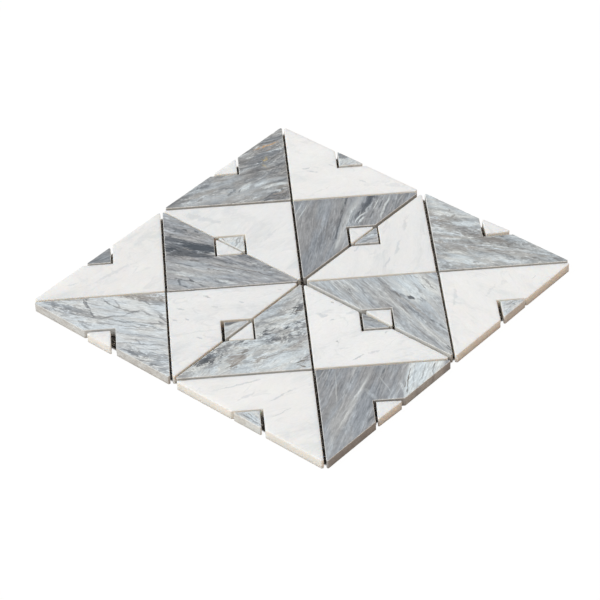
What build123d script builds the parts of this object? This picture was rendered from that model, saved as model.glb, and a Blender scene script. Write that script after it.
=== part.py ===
from build123d import *
import os
from math import radians, sin, sqrt

# Marble mosaic sheet: notched triangles with small inserts, face up on a backing net.
# Lengths in mm, +Z up, sheet sides along X and Y, floor at Z = 0 under the sheet's middle.

# The sheet, measured over the stones
sheet_side = 305.0
joint = 2.0

# The stones
stone_thick = 8.0
insert_square = 24.0
tip_flat = 1.8
arris = 0.4

# The backing net
net_inset = 2.8
warp_pitch = 4.6
warp_width = 0.9
warp_thick = 0.3
weft_pitch = 4.0
weft_width = 1.1
weft_thick = 0.3
yarn_clearance = 0.02

# Joint lines cross on a grid that lies along the sheet's diagonals, one cell apart
cell = (sheet_side + joint) / (2 * sqrt(2))
hypotenuse = cell - joint / sqrt(2)
tip_cut = tip_flat / (2 * sin(radians(22.5)))
weft_floor = warp_thick + yarn_clearance
net_thick = weft_floor + weft_thick
net_side = sheet_side - 2 * net_inset


def corner_triangle(leg_line):
    # right angle next to a grid crossing, legs along +X and +Y, acute tips blunted
    far = hypotenuse - leg_line
    outline = Polyline((leg_line, leg_line), (far, leg_line), (leg_line, far), close=True)
    face = make_face(outline)
    tips = [face.vertices().sort_by(Axis.X)[-1], face.vertices().sort_by(Axis.Y)[-1]]
    return chamfer(tips, tip_cut)


def stone(face):
    # sawn slab piece standing on the net, with an eased arris round its polished top
    slab = extrude(Pos(0, 0, net_thick) * face, stone_thick)
    top_edges = slab.faces().sort_by(Axis.Z)[-1].edges()
    return chamfer(top_edges, arris)


def yarns(pitch, width, thick, length):
    # parallel yarns along Y, evenly spaced either side of one that runs through the middle
    each_side = int((net_side - width) / 2 // pitch)
    yarn = Box(width, length, thick, align=(Align.CENTER, Align.CENTER, Align.MIN))
    spots = GridLocations(pitch, 0, 2 * each_side + 1, 1)
    return Compound(children=[spot * yarn for spot in spots])


# One large stone and one insert, beside the grid crossing at the origin
insert_line = (cell - insert_square) / 2
notch_edge = insert_line - joint / 2
notch_reach = cell - notch_edge
notch = Pos(notch_edge, notch_edge) * Rectangle(notch_reach, notch_reach, align=(Align.MIN, Align.MIN))
large_stone = stone(corner_triangle(joint / 2) - notch)
insert_stone = stone(corner_triangle(insert_line + joint / 2))

# The stones of one quarter: grid crossing, turn of the right angle, stone colour, insert colour
quarter = {
    "centre_white": ((0, cell), 180, "centre_grey_insert"),
    "centre_grey": ((-cell, 0), 0, "centre_white_insert"),
    "edge_grey": ((0, cell), 90, "edge_white_insert"),
    "edge_white": ((0, cell), 0, "edge_grey_insert"),
}

nodes = {}
for number in range(4):
    to_sheet = Rot(0, 0, 45 + 90 * number)
    for stone_name, (crossing, turn, insert_name) in quarter.items():
        place = to_sheet * Pos(*crossing) * Rot(0, 0, turn)
        nodes[f"{stone_name}_{number + 1}"] = place * large_stone
        nodes[f"{insert_name}_{number + 1}"] = place * insert_stone

# Warp yarns lie along Y on the floor, weft yarns lie along X on the warp
nodes["net_warp"] = yarns(warp_pitch, warp_width, warp_thick, net_side)
weft = yarns(weft_pitch, weft_width, weft_thick, net_side)
nodes["net_weft"] = Pos(0, 0, weft_floor) * Rot(0, 0, 90) * weft

os.makedirs("parts", exist_ok=True)
for name, shape in nodes.items():
    export_step(shape, f"parts/{name}.step")
    print(name, round(shape.volume, 1))
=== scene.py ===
import math
import bpy
import numpy as np
from mathutils import Matrix


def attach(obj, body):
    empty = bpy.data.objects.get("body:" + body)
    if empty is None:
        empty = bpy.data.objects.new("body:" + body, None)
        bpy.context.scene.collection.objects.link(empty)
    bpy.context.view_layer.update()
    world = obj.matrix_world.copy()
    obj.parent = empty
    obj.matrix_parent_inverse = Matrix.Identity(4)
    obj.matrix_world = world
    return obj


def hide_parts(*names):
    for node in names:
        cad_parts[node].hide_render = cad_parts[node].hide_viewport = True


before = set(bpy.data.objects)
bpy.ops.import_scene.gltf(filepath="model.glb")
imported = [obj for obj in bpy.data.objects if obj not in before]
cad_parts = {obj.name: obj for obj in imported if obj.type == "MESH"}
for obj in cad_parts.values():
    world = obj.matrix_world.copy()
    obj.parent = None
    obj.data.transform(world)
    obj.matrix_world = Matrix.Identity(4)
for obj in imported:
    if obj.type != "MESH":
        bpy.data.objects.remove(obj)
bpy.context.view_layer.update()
print("frame loaded")

# sizes in mm, the same as in the part
sheet = dict(side=305.0, joint=2.0, thick=8.0, insertSquare=24.0, netThick=0.62, netSide=299.4)
perMetre = 1000             # pieces are worked out in mm and built in metres
diagonal = 45               # the joint grid lies along the sheet's diagonals
patternSide = 300.0         # veins and camera are set out on a sheet this many units wide
cell = (sheet["side"] + sheet["joint"]) / (2 * math.sqrt(2))
hypotenuse = cell - sheet["joint"] / math.sqrt(2)
insertLine = (cell - sheet["insertSquare"]) / 2
patternScale = patternSide / (sheet["side"] / perMetre)


def srgb(r, g, b):
    # a screen colour from 0 to 255 made linear, by the standard curve
    c = np.array([r, g, b]) / 255.0
    c = np.where(c <= 0.04045, c / 12.92, ((c + 0.055) / 1.055) ** 2.4)
    return (float(c[0]), float(c[1]), float(c[2]), 1.0)


# node helpers

def put(tree, kind, inputs=None, **settings):
    node = tree.nodes.new(kind)
    for key, value in settings.items():
        setattr(node, key, value)
    for key, value in (inputs or {}).items():
        if isinstance(value, bpy.types.NodeSocket):
            tree.links.new(value, node.inputs[key])
        else:
            node.inputs[key].default_value = value
    return node


def calc(tree, operation, a, b=0.0, c=0.0, clamp=False):
    inputs = {0: a, 1: b, 2: c}
    return put(tree, "ShaderNodeMath", inputs, operation=operation, use_clamp=clamp).outputs[0]


def vec(tree, operation, a, b=(0, 0, 0), scale=1.0):
    node = put(tree, "ShaderNodeVectorMath", {0: a, 1: b, 3: scale}, operation=operation)
    return node.outputs["Value" if operation == "DOT_PRODUCT" else "Vector"]


def combine(tree, x, y, z):
    return put(tree, "ShaderNodeCombineXYZ", {0: x, 1: y, 2: z}).outputs[0]


def separate(tree, vector):
    return put(tree, "ShaderNodeSeparateXYZ", {0: vector}).outputs


def turnBack(tree, vector, degrees):
    inputs = {"Vector": vector, "Angle": calc(tree, "MULTIPLY", degrees, -math.pi / 180)}
    return put(tree, "ShaderNodeVectorRotate", inputs, rotation_type="Z_AXIS").outputs[0]


def blendColor(tree, factor, a, b, mode="MIX"):
    inputs = {0: factor, 6: a, 7: b}
    node = put(tree, "ShaderNodeMix", inputs, data_type="RGBA", blend_type=mode, clamp_factor=True)
    return node.outputs[2]


def remap(tree, value, low, high, toLow=0.0, toHigh=1.0, smooth=True):
    inputs = {0: value, 1: low, 2: high, 3: toLow, 4: toHigh}
    kind = "SMOOTHSTEP" if smooth else "LINEAR"
    return put(tree, "ShaderNodeMapRange", inputs, clamp=True, interpolation_type=kind).outputs[0]


def noise(tree, vector, scale, detail, rough, output="Fac"):
    inputs = {"Vector": vector, "Scale": scale, "Detail": detail, "Roughness": rough}
    return put(tree, "ShaderNodeTexNoise", inputs).outputs[output]


def noiseShift(tree, vector, scale, detail, rough):
    # three noises about zero, to push a place about with
    return vec(tree, "SUBTRACT", noise(tree, vector, scale, detail, rough, "Color"), (0.5, 0.5, 0.5))


def stretchedNoise(tree, vector, stretch, detail, rough, start=(0, 0, 0)):
    # noise read at stretch times the place, counted from start
    place = vec(tree, "ADD", vec(tree, "MULTIPLY", vector, stretch), start)
    return noise(tree, place, 1.0, detail, rough)


def lineMask(tree, value, half):
    # 1 where a noise passes its middle, falling to 0 at half either side
    gap = calc(tree, "ABSOLUTE", calc(tree, "SUBTRACT", value, 0.5))
    return remap(tree, gap, 0.0, half, 1.0, 0.0)


def newGroup(name, inputs, outputs):
    # inputs and outputs give the labels of each kind of socket
    tree = bpy.data.node_groups.new(name, "ShaderNodeTree")
    for way, sockets in (("INPUT", inputs), ("OUTPUT", outputs)):
        for kind, labels in sockets.items():
            for label in labels:
                tree.interface.new_socket(label, in_out=way, socket_type="NodeSocket" + kind)
    source = tree.nodes.new("NodeGroupInput").outputs
    sink = tree.nodes.new("NodeGroupOutput").inputs
    return tree, source, sink


def newMaterial(name):
    material = bpy.data.materials.new(name)
    material.use_nodes = True
    material.node_tree.nodes.clear()
    return material, material.node_tree


# the marble bed: bends are scale, detail and roughness of a noise, bands to stain are stretch, detail,
# roughness and start of one, spans are the part of its range that is used
bed = dict(
    slowBend=(0.7, 3.0, 0.5), quickBend=(1.9, 3.0, 0.55), quickShare=0.55,
    markBend=(0.1, 5.0, 0.6), markReach=5.0,
    bands=((1, 1, 1), 6.0, 0.6), threads=((0.8, 4.6, 2.0), 5.0, 0.62), clouds=((3.2, 2.4, 1.0), 6.0, 0.65),
    span=(0.28, 0.72), threadShare=0.55, cloudShare=0.45, textureSpan=(0.36, 0.64),
    veins=((1.7, 1.1, 1.0), 4.0, 0.5, (7.3, 2.1, 4.4)), veinHalf=0.03,
    hairs=((0.5, 2.6, 1.0), 3.0, 0.45, (3.1, 9.2, 1.7)), hairHalf=0.022,
    flecks=((0.8, 0.75, 0.75), 3.0, 0.7), fleckSpan=(0.3, 0.7, -1.0, 1.0),
    stain=((1.2, 1.2, 1.0), 4.0, 0.6, (5.7, 1.3, 8.1)), stainSpan=(0.35, 0.65))


def makeMarbleFlow():
    # veined bed: turn to the grain, divide by the bed size, stretch along the grain and bend twice by noise,
    # the second time by noise read at the bent place, then read bands, threads, clouds, flecks and stain as
    # noise, and veins and hairs where a noise passes its middle
    tree, source, sink = newGroup(
        "marbleFlow",
        dict(Vector=["Vector"], Float=["Grain Angle", "Bed Size", "Stretch", "Swirl", "Seed"]),
        dict(Float=["Bands", "Threads", "Clouds", "Veins", "Hairs", "Flecks", "Texture", "Stain"],
             Vector=["Bent"]))
    swirl = source["Swirl"]
    turned = turnBack(tree, source["Vector"], source["Grain Angle"])
    shrunk = vec(tree, "SCALE", turned, scale=calc(tree, "DIVIDE", 1.0, source["Bed Size"]))
    pull = combine(tree, calc(tree, "DIVIDE", 1.0, source["Stretch"]), 1.0, 1.0)
    seed = combine(tree, source["Seed"], 0.0, source["Seed"])
    unit = vec(tree, "ADD", vec(tree, "MULTIPLY", shrunk, pull), seed)
    slow = noiseShift(tree, unit, *bed["slowBend"])
    once = vec(tree, "ADD", unit, vec(tree, "SCALE", slow, scale=swirl))
    quick = noiseShift(tree, once, *bed["quickBend"])
    quickSwirl = calc(tree, "MULTIPLY", swirl, bed["quickShare"])
    twice = vec(tree, "ADD", once, vec(tree, "SCALE", quick, scale=quickSwirl))
    bands = stretchedNoise(tree, twice, *bed["bands"])
    threads = stretchedNoise(tree, twice, *bed["threads"])
    clouds = stretchedNoise(tree, twice, *bed["clouds"])
    veins = stretchedNoise(tree, twice, *bed["veins"])
    hairs = stretchedNoise(tree, once, *bed["hairs"])
    stain = stretchedNoise(tree, twice, *bed["stain"])
    flecks = stretchedNoise(tree, vec(tree, "SCALE", once, scale=source["Bed Size"]), *bed["flecks"])
    texture = calc(tree, "MULTIPLY", clouds, bed["cloudShare"])
    texture = calc(tree, "MULTIPLY_ADD", threads, bed["threadShare"], texture)
    push = noiseShift(tree, source["Vector"], *bed["markBend"])
    push = vec(tree, "SCALE", push, scale=calc(tree, "MULTIPLY", swirl, bed["markReach"]))
    results = {
        "Bands": remap(tree, bands, *bed["span"], smooth=False),
        "Threads": remap(tree, threads, *bed["span"], smooth=False),
        "Clouds": remap(tree, clouds, *bed["span"], smooth=False),
        "Texture": remap(tree, texture, *bed["textureSpan"], smooth=False),
        "Flecks": remap(tree, flecks, *bed["fleckSpan"], smooth=False),
        "Veins": lineMask(tree, veins, bed["veinHalf"]),
        "Hairs": lineMask(tree, hairs, bed["hairHalf"]),
        "Stain": remap(tree, stain, *bed["stainSpan"]),
        "Bent": vec(tree, "ADD", source["Vector"], push),
    }
    for label, value in results.items():
        tree.links.new(value, sink[label])
    return tree


# veins and patches set out one by one: how a line strays, its soft edge, what a mark has where it gives no
# value of its own, and how far its tips run on past its ends
vein = dict(
    strayAlong=0.16, strayDown=0.1, strayNoise=(1.0, 3.0, 0.5), edge=(0.55, 1.15), sideStep=(0.2, 0.2, 0.0),
    bend=0.0, wanderPerWidth=2.0, leastWander=0.6, torn=1.0, grit=0.35, tipPerWidth=0.7,
    seedPerStone=3.7, seedPerMark=1.93)


def makeVeinMark():
    # one vein or patch: distance from its middle, in half lengths along and half widths across, with its line
    # bowed by Bend and wandering by Wander; the stone's own texture tears its outline
    tree, source, sink = newGroup(
        "veinMark",
        dict(Vector=["Vector", "Middle"],
             Float=["Texture", "Flecks", "Angle", "Half Length", "Half Width", "Bend", "Wander", "Torn",
                    "Grit", "Seed"]),
        dict(Float=["Mask"], Vector=["Vector"]))
    away = vec(tree, "SUBTRACT", source["Vector"], source["Middle"])
    part = separate(tree, turnBack(tree, away, source["Angle"]))
    lengthwise = calc(tree, "DIVIDE", part[0], source["Half Length"])
    lengthSquare = calc(tree, "MULTIPLY", lengthwise, lengthwise)
    bow = calc(tree, "MULTIPLY", lengthSquare, source["Bend"])
    strayAlong = calc(tree, "MULTIPLY", part[0], vein["strayAlong"])
    strayDown = calc(tree, "MULTIPLY", part[2], vein["strayDown"])
    stray = noise(tree, combine(tree, strayAlong, source["Seed"], strayDown), *vein["strayNoise"])
    stray = calc(tree, "MULTIPLY", calc(tree, "SUBTRACT", stray, 0.5), source["Wander"])
    offLine = calc(tree, "ADD", calc(tree, "SUBTRACT", part[1], bow), stray)
    across = calc(tree, "DIVIDE", offLine, source["Half Width"])
    acrossSquare = calc(tree, "MULTIPLY", across, across)
    reach = calc(tree, "SQRT", calc(tree, "ADD", lengthSquare, acrossSquare))
    tear = calc(tree, "MULTIPLY", calc(tree, "SUBTRACT", source["Texture"], 0.5), source["Torn"])
    tear = calc(tree, "MULTIPLY_ADD", source["Flecks"], source["Grit"], tear)
    mask = remap(tree, calc(tree, "ADD", reach, tear), *vein["edge"], 1.0, 0.0)
    tree.links.new(mask, sink["Mask"])
    # a later vein steps sideways a little where it crosses this one
    step = vec(tree, "SCALE", vein["sideStep"], scale=mask)
    tree.links.new(vec(tree, "ADD", source["Vector"], step), sink["Vector"])
    return tree


# how a stone is dressed: grain and crystal are scale, detail and roughness of a noise, sawLine is stretch,
# detail and roughness of one, and speck to honed are two limits of the noise and what they become
dressed = dict(
    grain=(2.4, 2.0, 0.6), crystal=(0.75, 3.0, 0.7), sawLine=((0.6, 0.6, 3.2), 3.0, 0.6),
    speck=(0.25, 0.75, -1.0, 1.0), dust=(0.32, 0.68, 0.55, 1.0), rubAndHighlight=(0.3, 0.65, 0.25, 0.9),
    pock=(0.28, 0.42, 2.5, 0.0), pockColor=(0.34, 0.32, 0.30, 1), honed=(0.3, 0.7, 0.34, 0.46),
    wallRough=0.35, rimRough=0.1, honedRise=0.05, sawRise=0.6)


def makeStoneFinish():
    # honed top, sawn walls and a rubbed arris: crystals speckle all of it, Wall picks the sawn and pocked
    # look, Rim the rubbed edge, whose paler colour is partly wear and partly a painted highlight
    tree, source, sink = newGroup(
        "stoneFinish",
        dict(Color=["Stone Color", "Sawn Color", "Rim Wear And Highlight Color"], Vector=["Vector"],
             Float=["Sawn Cover", "Grain", "Wall", "Rim"]),
        dict(Color=["Color"], Float=["Roughness", "Height"]))
    wall, rim = source["Wall"], source["Rim"]
    grain = noise(tree, source["Vector"], *dressed["grain"])
    crystal = noise(tree, source["Vector"], *dressed["crystal"])
    speck = remap(tree, crystal, *dressed["speck"], smooth=False)
    shade = calc(tree, "MULTIPLY_ADD", speck, source["Grain"], 1.0)
    speckled = blendColor(tree, 1.0, source["Stone Color"], shade, "MULTIPLY")
    dust = calc(tree, "MULTIPLY", remap(tree, crystal, *dressed["dust"]), source["Sawn Cover"])
    sawn = blendColor(tree, dust, speckled, source["Sawn Color"])
    pock = calc(tree, "MULTIPLY", remap(tree, grain, *dressed["pock"]), source["Grain"])
    pocked = blendColor(tree, pock, sawn, dressed["pockColor"])
    walled = blendColor(tree, wall, speckled, pocked)
    # the rim is paled partly by rubbed wear and partly as a painted highlight along the arris
    rimWearAndHighlight = calc(tree, "MULTIPLY", rim, remap(tree, crystal, *dressed["rubAndHighlight"]))
    tree.links.new(blendColor(tree, rimWearAndHighlight, walled, source["Rim Wear And Highlight Color"]), sink["Color"])
    rough = remap(tree, crystal, *dressed["honed"], smooth=False)
    rough = calc(tree, "ADD", rough, calc(tree, "MULTIPLY", wall, dressed["wallRough"]))
    rough = calc(tree, "ADD", rough, calc(tree, "MULTIPLY", rim, dressed["rimRough"]), clamp=True)
    tree.links.new(rough, sink["Roughness"])
    sawLine = stretchedNoise(tree, source["Vector"], *dressed["sawLine"])
    wallRise = calc(tree, "ADD", calc(tree, "MULTIPLY", sawLine, dressed["sawRise"]), grain)
    wallRise = calc(tree, "MULTIPLY", wallRise, wall)
    honedRise = calc(tree, "MULTIPLY", grain, dressed["honedRise"])
    tree.links.new(calc(tree, "ADD", honedRise, wallRise), sink["Height"])
    return tree


marbleFlow = makeMarbleFlow()
veinMark = makeVeinMark()
stoneFinish = makeStoneFinish()
print("shared marble groups made")

# tones that veins and patches are drawn in
tones = dict(
    ink=srgb(70, 76, 83), slate=srgb(92, 97, 103), lead=srgb(119, 122, 126), ash=srgb(150, 153, 156),
    mist=srgb(186, 191, 194), chalk=srgb(215, 221, 222), smoke=srgb(198, 203, 207), haze=srgb(220, 223, 225),
    stone=srgb(138, 137, 136), umber=srgb(116, 110, 104), taupe=srgb(161, 157, 153),
    straw=srgb(204, 186, 136), ochre=srgb(208, 164, 110))

# what all stones share: where in the clouds veins and hairs come up, the two stains, the gloss and relief,
# and how light goes into the stone, its depth in metres
marble = dict(
    linePatches=(0.35, 0.75), coldStain=(0.93, 1.0, 1.07, 1), warmStain=(1.04, 1.0, 0.955, 1),
    specular=0.4, bump=0.25, bumpHeight=0.00025, glowRadius=(1.0, 0.85, 0.72), glowDepth=0.008)


def stoneCoords(tree):
    place = tree.nodes.new("ShaderNodeTexCoord").outputs["Object"]
    inputs = {
        "Vector": place, "Rotation": (0, 0, math.radians(diagonal)), "Scale": (1 / patternScale,) * 3}
    return put(tree, "ShaderNodeMapping", inputs, vector_type="TEXTURE").outputs[0]


def drawMarks(tree, place, flow, color, marks, seed):
    # each mark: tone, start u and v, end u and v, half width, strength, then its own bend, wander, torn and
    # grit where it has them
    for number, (tone, u0, v0, u1, v1, wide, strength, *own) in enumerate(marks):
        usualWander = wide * vein["wanderPerWidth"] + vein["leastWander"]
        usual = (vein["bend"], usualWander, vein["torn"], vein["grit"])
        bend, wander, torn, grit = (*own, *usual[len(own):])
        inputs = {
            "Vector": place, "Texture": flow["Texture"], "Flecks": flow["Flecks"],
            "Middle": ((u0 + u1) / 2, (v0 + v1) / 2, 0),
            "Angle": math.degrees(math.atan2(v1 - v0, u1 - u0)),
            "Half Length": math.hypot(u1 - u0, v1 - v0) / 2 + wide * vein["tipPerWidth"],
            "Half Width": wide, "Bend": bend, "Wander": wander, "Torn": torn, "Grit": grit,
            "Seed": seed * vein["seedPerStone"] + number * vein["seedPerMark"]}
        mark = put(tree, "ShaderNodeGroup", inputs, node_tree=veinMark).outputs
        place = mark["Vector"]
        color = blendColor(tree, calc(tree, "MULTIPLY", mark["Mask"], strength), color, tones[tone])
    return color


def shadeRamp(tree, level, shades):
    # dark, middle and pale shade, eased from one to the next
    ramp = put(tree, "ShaderNodeValToRGB", {0: level})
    ramp.color_ramp.interpolation = "EASE"
    stops = ramp.color_ramp.elements
    stops[0].color = srgb(*shades[0])
    stops[1].color = srgb(*shades[2])
    stops.new(0.5).color = srgb(*shades[1])
    return ramp.outputs[0]


def stoneMaterial(name, look):
    material, tree = newMaterial(name)
    place = stoneCoords(tree)
    grain = dict(zip(("Grain Angle", "Bed Size", "Stretch", "Swirl", "Seed"), look["grain"]))
    flow = put(tree, "ShaderNodeGroup", {"Vector": place, **grain}, node_tree=marbleFlow).outputs
    level = 0.0
    for label, share in zip(("Bands", "Threads", "Clouds"), look["mix"]):
        level = calc(tree, "MULTIPLY_ADD", flow[label], share, level)
    level = remap(tree, level, *look["level"], smooth=False)
    color = shadeRamp(tree, level, np.array(look["shades"]) + look["lift"])
    patches = remap(tree, flow["Clouds"], *marble["linePatches"])
    for label, (tone, strength) in zip(("Veins", "Hairs"), (look["lines"][:2], look["lines"][2:])):
        line = calc(tree, "MULTIPLY", calc(tree, "MULTIPLY", flow[label], patches), strength)
        color = blendColor(tree, line, color, tones[tone])
    color = drawMarks(tree, flow["Bent"], flow, color, look["marks"], grain["Seed"])
    fleckShade = calc(tree, "MULTIPLY_ADD", flow["Flecks"], look["flecks"], 1.0)
    color = blendColor(tree, 1.0, color, fleckShade, "MULTIPLY")
    tint = blendColor(tree, flow["Stain"], marble["coldStain"], marble["warmStain"])
    color = blendColor(tree, look["stain"], color, tint, "MULTIPLY")
    inputs = {
        "Stone Color": color, "Vector": place, "Sawn Color": srgb(*look["sawn"]), "Sawn Cover": look["cover"],
        "Rim Wear And Highlight Color": srgb(*look["rim"]), "Grain": look["speckle"]}
    for key in ("Wall", "Rim"):
        inputs[key] = put(tree, "ShaderNodeAttribute", attribute_name=key.lower()).outputs["Fac"]
    finish = put(tree, "ShaderNodeGroup", inputs, node_tree=stoneFinish).outputs
    inputs = {"Height": finish["Height"], "Strength": marble["bump"], "Distance": marble["bumpHeight"]}
    bump = put(tree, "ShaderNodeBump", inputs).outputs[0]
    shader = put(tree, "ShaderNodeBsdfPrincipled", {
        "Base Color": finish["Color"], "Roughness": finish["Roughness"], "Normal": bump,
        "Specular IOR Level": marble["specular"], "Subsurface Weight": look["glow"],
        "Subsurface Radius": marble["glowRadius"], "Subsurface Scale": marble["glowDepth"]})
    put(tree, "ShaderNodeOutputMaterial", {"Surface": shader.outputs[0]})
    return material


# stone shapes in mm: the wall's rings go up from a foot drawn in a little, then the arris turns over to the
# top; bite to rim say, for each ring of the arris, how far a chip cuts in and down, how sawn the stone is
# there, and how far it takes the rubbed rim colour, which is partly a painted highlight
stoneShape = dict(
    step=1.0, cornerCut=0.5, leastCut=0.12, cutPerInset=0.5, cutPerSide=0.4, arcSteps=5,
    foot=0.3, wallUp=(0.3, 2.6, 5.0), belowTop=1.1, arris=0.36, arrisTurns=(0, 30, 60, 90), border=0.18,
    bite=(0.45, 0.8, 1.0, 1.0), drop=(0.2, 0.5, 0.6, 0.5), wall=(0.9, 0.5, 0.2, 0), rim=(0.5, 1.0, 1.0, 0.8),
    chipEvery=14.0, leastChips=3, chipDepth=0.34, chipShare=(0.1, 1.0), chipWidth=(0.5, 1.8), fret=0.03,
    seed=11)
rng = np.random.default_rng(stoneShape["seed"])


def stoneCorners(legLine, notchLine, tipA, tipB, grow):
    # right angle beside a joint crossing, legs along +x and +y, blunt tips on the long side and, where there
    # is a notch line, a square notch in its middle
    reach = hypotenuse + grow
    far = reach - legLine
    slant = math.sqrt(0.5)
    points = [(legLine, legLine), (far - tipA, legLine), (far - tipA * slant, legLine + tipA * slant)]
    if notchLine:
        points += [(reach - notchLine, notchLine), (notchLine, notchLine), (notchLine, reach - notchLine)]
    points += [(legLine + tipB * slant, far - tipB * slant), (legLine, far - tipB)]
    return np.array(points)


def edgeRuns(corners):
    # direction and length of the edge that leaves each corner
    ahead = np.roll(corners, -1, 0) - corners
    length = np.linalg.norm(ahead, axis=1)
    return ahead / length[:, None], length


def insetCorners(corners, inset):
    # every edge moves in by inset, so a corner slides by inset * (n1 + n2) / (1 + n1.n2)
    ahead = edgeRuns(corners)[0]
    normal = np.stack([ahead[:, 1], -ahead[:, 0]], 1)
    before = np.roll(normal, 1, 0)
    return corners - inset * (before + normal) / (1 + (before * normal).sum(1, keepdims=True))


def walkOutline(corners, cut, counts, arcSteps):
    # straight runs joined by quadratic arcs (1-t)^2 a + 2t(1-t) corner + t^2 b, with a and b one cut from
    # the corner
    ahead = edgeRuns(corners)[0]
    start = corners - cut * np.roll(ahead, 1, 0)
    end = corners + cut * ahead
    t = np.linspace(0, 1, arcSteps)[None, :, None]
    arcs = (1 - t) ** 2 * start[:, None] + 2 * t * (1 - t) * corners[:, None] + t ** 2 * end[:, None]
    parts = []
    for arc, leave, arrive, count in zip(arcs, end, np.roll(start, -1, 0), counts):
        parts += [arc, np.linspace(leave, arrive, count + 2)[1:-1]]
    return np.concatenate(parts)


def ringQuads(index):
    # quads between each ring and the next: points go round on the last axis, rings follow on the one before
    beside = np.roll(index, -1, -1)
    corners = [index[..., :-1, :], beside[..., :-1, :], beside[..., 1:, :], index[..., 1:, :]]
    return np.stack(corners, -1).reshape(-1, 4)


def buildMesh(name, points, faces, smooth, attributes=()):
    mesh = bpy.data.meshes.new(name)
    mesh.from_pydata(points.tolist(), [], faces)
    mesh.polygons.foreach_set("use_smooth", smooth)
    for key, values in attributes:
        layer = mesh.attributes.new(key, "FLOAT", "POINT")
        layer.data.foreach_set("value", np.ascontiguousarray(values, dtype=np.float32))
    mesh.update()
    piece = bpy.data.objects.new(name, mesh)
    bpy.context.scene.collection.objects.link(piece)
    return piece


def chipDepths(outline):
    # depth of the chips at each point: gaussian bites at random places along the outline, and a slight fret
    shape = stoneShape
    walk = np.concatenate([[0], np.cumsum(np.linalg.norm(np.diff(outline, axis=0), axis=1))])
    chips = max(int(walk[-1] / shape["chipEvery"]), shape["leastChips"])
    where = rng.uniform(0, walk[-1], chips)
    deep = shape["chipDepth"] * rng.uniform(*shape["chipShare"], chips) ** 2
    width = rng.uniform(*shape["chipWidth"], chips)
    gap = np.abs(walk[:, None] - where[None])
    gap = np.minimum(gap, walk[-1] - gap)
    fret = shape["fret"] * rng.random(len(outline))
    return np.minimum((deep * np.exp(-(gap / width) ** 2)).sum(1) + fret, shape["arris"])


def stonePiece(name, corners, place, floor):
    # the outline carried up the wall and over a rounded arris, out of which the chips are bitten
    shape = stoneShape
    lengths = edgeRuns(corners)[1]
    counts = np.maximum((lengths / shape["step"]).astype(int), 1)
    cut = min(shape["cornerCut"], shape["cutPerSide"] * lengths.min())
    outer = walkOutline(corners, cut, counts, shape["arcSteps"])
    tangent = np.roll(outer, -1, 0) - np.roll(outer, 1, 0)
    tangent /= np.linalg.norm(tangent, axis=1, keepdims=True)
    normal = np.stack([tangent[:, 1], -tangent[:, 0]], 1)
    chip = chipDepths(outer)
    arris, top = shape["arris"], sheet["thick"]
    turn = np.radians(shape["arrisTurns"])
    wallUp = [0.0, *shape["wallUp"], top - shape["belowTop"]]
    onWall = np.zeros(len(wallUp))
    inset = np.concatenate([onWall, arris * (1 - np.cos(turn)), [arris + shape["border"]]])
    inset[0] = shape["foot"]
    height = np.concatenate([wallUp, top - arris + arris * np.sin(turn), [top]])
    bite, drop, rim = (np.concatenate([onWall, shape[key], [0]]) for key in ("bite", "drop", "rim"))
    wall = np.concatenate([onWall + 1, shape["wall"], [0]])
    rings = []
    for number in range(len(inset)):
        inner = insetCorners(corners, inset[number])
        cut = max(shape["cornerCut"] - shape["cutPerInset"] * inset[number], shape["leastCut"])
        cut = min(cut, shape["cutPerSide"] * edgeRuns(inner)[1].min())
        ring = walkOutline(inner, cut, counts, shape["arcSteps"])
        ring = ring - normal * (chip * bite[number])[:, None]
        rings.append(np.column_stack([ring, height[number] - chip * drop[number]]))
    points = np.array(rings)
    many, around = points.shape[:2]
    flat = points.reshape(-1, 3)
    flat = np.column_stack([flat[:, :2] @ place[0].T + place[1], flat[:, 2] + floor]) / perMetre
    index = np.arange(many * around).reshape(many, around)
    quads = ringQuads(index)
    faces = quads.tolist() + [index[-1].tolist(), index[0][::-1].tolist()]
    smooth = np.array([True] * len(quads) + [False, False])
    attributes = [("wall", np.repeat(wall, around)), ("rim", np.repeat(rim, around))]
    return buildMesh(name, flat, faces, smooth, attributes)


def turnBy(degrees):
    c, s = math.cos(math.radians(degrees)), math.sin(math.radians(degrees))
    return np.array([[c, -s], [s, c]])


# stone looks: grain = angle, bed size, stretch, swirl, seed; mix = bands, threads, clouds
# level = the part of that mix that the shades span; shades = dark to pale, with lift added to each
# lines = tone and strength of veins, then of hairs; cover = how far the sawn colour hides the stone
# speckle, flecks and stain = strength of crystals, grit and tint; glow = light that goes into the stone
# tips = the two blunt tips and grow = how far the long side stands out, in mm
# nudge = how far the stone lies off its grid place, in mm to the view's right and away, and its twist in
# degrees
# rim is the colour of the rubbed arris, paler partly as a painted highlight
whiteLook = dict(
    grain=(20, 30, 2.0, 1.2, 0.0), mix=(0.45, 0.2, 0.35), level=(0.2, 0.8), lift=0,
    shades=((221, 224, 225), (235, 236, 236), (240, 240, 239)), lines=("smoke", 0.3, "haze", 0.0), marks=[],
    sawn=(236, 229, 217), cover=0.9, rim=(232, 228, 220), speckle=0.015, flecks=0.025, stain=0.0, glow=0.7)
greyLook = dict(
    grain=(20, 14, 3.0, 1.2, 0.0), mix=(0.5, 0.25, 0.25), level=(0.24, 0.76), lift=0,
    shades=((116, 119, 123), (150, 153, 157), (188, 193, 196)), lines=("lead", 0.5, "mist", 0.4), marks=[],
    sawn=(202, 197, 189), cover=0.75, rim=(228, 227, 223), speckle=0.06, flecks=0.24, stain=0.6, glow=0.0)

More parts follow.
